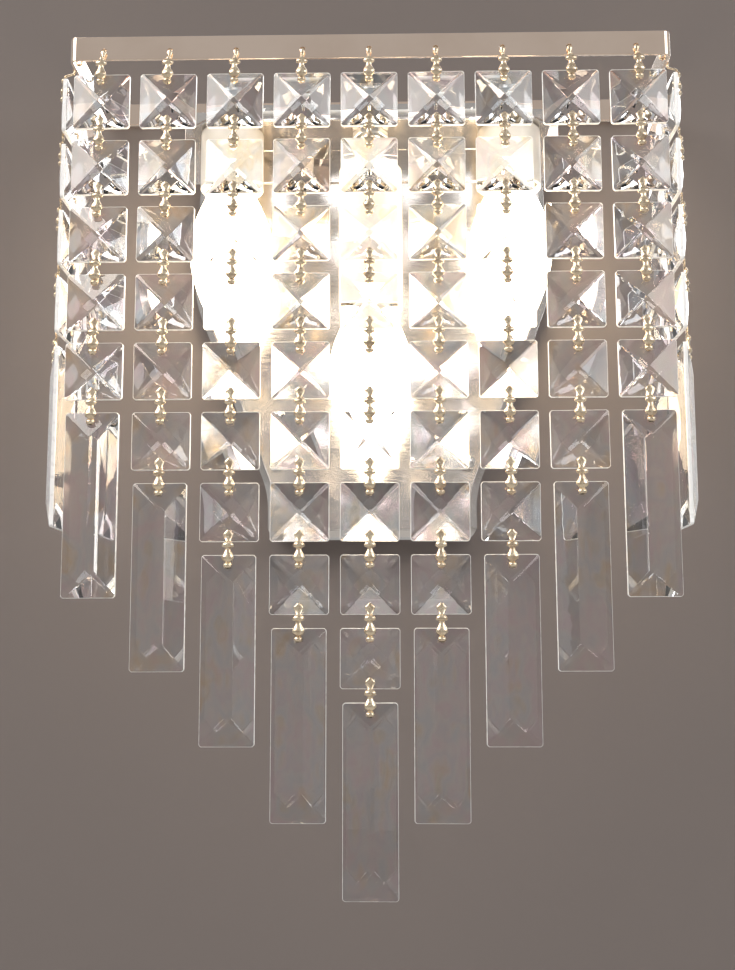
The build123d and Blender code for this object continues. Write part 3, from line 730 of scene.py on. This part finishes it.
def cap_nut_form():
    """Hexagon with a polished dome, on the origin."""
    hexagon = nut_form(7.0, 3.2, 2.01)
    dome = [(2.6, 2.05), (3.2, 3.1), (3.5, 3.0)]
    for degrees in range(12, 90, 11):
        a = math.radians(degrees)
        dome.append((3.5 + 2.6 * math.sin(a), 2.9 * math.cos(a)))
    return merged([(hexagon, Matrix()), (lathe(dome, 32), Matrix())])


def screw_head(width, height, slot_width):
    """Pan head with a slot, standing on the origin."""
    r = width / 2
    profile = [(0, r - 0.1), (0.2, r), (height * 0.5, r)]
    for degrees in (25, 50, 75):
        a = math.radians(degrees)
        profile.append((height * (0.5 + 0.5 * math.sin(a)), r * (0.62 + 0.38 * math.cos(a))))
    profile.append((height, r * 0.3))
    w, d = slot_width / 2, r * 1.2
    slot = skin([[(-d, -w, z), (d, -w, z), (d, w, z), (-d, w, z)] for z in (height * 0.55, height * 2)])
    return carved(lathe(profile, 28), [slot])


def screwed_in(place, head, radius, depth, turn=0):
    """A screw with its head on a place and its shank sunk to a depth."""
    shank = threaded(radius, depth)
    return [(head, place @ turned("Z", turn)), (shank, place @ at(0, 0, -depth))]


frame_head = screw_head(5.6, 1.8, 0.9)
screw_seats = [(s * x, y, z) for x, y, z in (RAIL_SCREW, WEB_SCREW) for s in (-1, 1)]
screws = []
for i, spot in enumerate(screw_seats):
    screws += screwed_in(at(*spot) @ OUTWARD, frame_head, 1.49, 2.5, 25 + 70 * i)
fixed("frame_screws_slotted", screws, fittings, "frame_screws", 35)

earth_items = screwed_in(at(*EARTH_SCREW) @ OUTWARD, screw_head(7.0, 2.4, 1.0), 1.99, 2.0)
fixed("earth_screw_slotted", earth_items, brass, "earth_screw", 35)

stud = threaded(STUD / 2, PAN_DEPTH + 4.0)
studs = [(stud, at(s * STUD_X, 0, STUD_Z) @ OUTWARD) for s in (-1, 1)]
fixed("pan_studs_threaded", studs, zinc, "pan_studs", 40)
domed = cap_nut_form()
domes = [(domed, at(s * STUD_X, -PAN_DEPTH, STUD_Z) @ OUTWARD) for s in (-1, 1)]
fixed("cap_nuts_domed", domes, fittings, "cap_nuts", 35)

clamp_head = screw_head(4.0, 1.2, 0.7)
clamps = []
for x in CLAMP_X:
    for z in CLAMP_Z:
        clamps.append((clamp_head, at(x, CLAMP_Y, z) @ OUTWARD @ turned("Z", dice.uniform(0, 180))))
piece("terminal_clamp_screws", "fitting", clamps, brass, [], facets=35)


def lead_form(start_x, lamp_x):
    """Lead up behind the carrier, over it and down through a lamp's stem."""
    route = [(start_x, LEAD_Y, LEAD_FOOT), (start_x, LEAD_Y, LEAD_TOP), (start_x, -LAMP_OUT, LEAD_TOP)]
    if start_x != lamp_x:
        route.append((lamp_x, -LAMP_OUT, LEAD_TOP))
    route.append((lamp_x, -LAMP_OUT, stem_foot[lamp_x]))
    return tube(route, LEAD / 2, bend=LEAD_BEND, sides=14)


leads = [(lead_form(a, b), Matrix()) for a, b in zip(CLAMP_X, LAMP_X)]
fixed("lamp_leads_smooth", leads, sleeving, "lamp_leads", 60)


# ---------------------------------------------------------------- camera, stage and light, in metres

EYE, LENS = (0.0088, -0.5664, -0.2151), 45.95
PITCH, YAW, ROLL = 8.0, -1.123, -0.105
FLOOR_Z, WALL_Y, WALL_TOP, STAGE_REACH = -1.1, 0.0006, 4, 6
FLOOR_LIFT = 0.22  # glow of the floor towards the camera alone
AIM = (0, 0, -0.12)


def camera():
    """Camera that looks up at the light from a little below, as the photograph does."""
    made = bpy.data.objects.new("camera", bpy.data.cameras.new("camera"))
    bpy.context.collection.objects.link(made)
    made.data.lens = LENS
    made.matrix_world = at(*EYE) @ turned("Z", -YAW) @ turned("X", 90 + PITCH) @ turned("Z", ROLL)
    bpy.context.scene.camera = made


def plane(name, corners, material):
    """One flat face of the stage."""
    mesh = bpy.data.meshes.new(name)
    mesh.from_pydata(corners, [], [(0, 1, 2, 3)])
    obj = bpy.data.objects.new(name, mesh)
    bpy.context.collection.objects.link(obj)
    mesh.materials.append(material)
    return obj


def stage_material(name, colour, one_sided):
    """Matt paint. One-sided, it is clear from behind, to the lamps and in mirror reflections."""
    s = Shader(name, colour, Roughness=0.9, Specular_IOR_Level=0.1)
    s.bump(s.noise(90, detail=3.0), 0.0002, 0.06)
    if one_sided:
        path = s.nodes.new("ShaderNodeLightPath")
        seen_through = s.nodes.new("ShaderNodeNewGeometry").outputs["Backfacing"]
        # a refracted ray counts as glossy too, so it is taken off to leave the mirrored ones
        mirrored = s.nodes.new("ShaderNodeMath")
        mirrored.operation = "SUBTRACT"
        mirrored.use_clamp = True
        s.links.new(path.outputs["Is Glossy Ray"], mirrored.inputs[0])
        s.links.new(path.outputs["Is Transmission Ray"], mirrored.inputs[1])
        for ray in (path.outputs["Is Shadow Ray"], mirrored.outputs[0]):
            either = s.nodes.new("ShaderNodeMath")
            either.operation = "MAXIMUM"
            s.links.new(seen_through, either.inputs[0])
            s.links.new(ray, either.inputs[1])
            seen_through = either.outputs[0]
        clear = s.nodes.new("ShaderNodeBsdfTransparent")
        mix = s.nodes.new("ShaderNodeMixShader")
        s.links.new(seen_through, mix.inputs[0])
        s.links.new(s.base.outputs[0], mix.inputs[1])
        s.links.new(clear.outputs[0], mix.inputs[2])
        s.links.new(mix.outputs[0], s.nodes["Material Output"].inputs["Surface"])
    else:
        path = s.nodes.new("ShaderNodeLightPath")
        lift = s.nodes.new("ShaderNodeMath")
        lift.operation = "MULTIPLY"
        lift.inputs[1].default_value = FLOOR_LIFT
        s.links.new(path.outputs["Is Camera Ray"], lift.inputs[0])
        s.links.new(lift.outputs[0], s.base.inputs["Emission Strength"])
        s.base.inputs["Emission Color"].default_value = (*colour, 1)
    return s.material


def lamp(name, place, size, power, colour=(1, 1, 1)):
    """Square soft lamp that faces the light."""
    light = bpy.data.lights.new(name, "AREA")
    light.size = size
    light.energy = power
    light.color = colour
    obj = bpy.data.objects.new(name, light)
    bpy.context.collection.objects.link(obj)
    obj.location = place
    obj.rotation_euler = (Vector(AIM) - Vector(place)).to_track_quat("-Z", "Y").to_euler()


def world():
    """Even studio light, paler where the camera sees it."""
    made = bpy.data.worlds.new("studio")
    made.use_nodes = True
    nodes, links = made.node_tree.nodes, made.node_tree.links
    back = nodes["Background"]
    back.inputs["Color"].default_value = (0.62, 0.61, 0.60, 1)
    back.inputs["Strength"].default_value = 0.75
    pale = nodes.new("ShaderNodeBackground")
    pale.inputs["Color"].default_value = (0.86, 0.85, 0.84, 1)
    path = nodes.new("ShaderNodeLightPath")
    mix = nodes.new("ShaderNodeMixShader")
    links.new(path.outputs["Is Camera Ray"], mix.inputs[0])
    links.new(back.outputs[0], mix.inputs[1])
    links.new(pale.outputs[0], mix.inputs[2])
    links.new(mix.outputs[0], nodes["World Output"].inputs["Surface"])
    bpy.context.scene.world = made


camera()
world()
wall_paint = stage_material("wall_paint", (0.19, 0.165, 0.155), True)
floor_paint = stage_material("floor_paint", (0.66, 0.65, 0.635), False)
square_corners = ((-1, -1), (1, -1), (1, 1), (-1, 1))
heights = {-1: FLOOR_Z, 1: WALL_TOP}
plane("wall", [(x * STAGE_REACH, WALL_Y, heights[z]) for x, z in square_corners], wall_paint)
plane("floor", [(x * STAGE_REACH, y * STAGE_REACH, FLOOR_Z) for x, y in square_corners], floor_paint)
lamp("key", (-1.3, -1.1, 1.2), 1.3, 30, (1.0, 0.96, 0.91))
lamp("fill", (1.3, -1.2, 0.75), 1.1, 12)
lamp("behind", (0.4, 1.4, 0.6), 1.0, 16)

bpy.context.scene.view_settings.view_transform = "Standard"
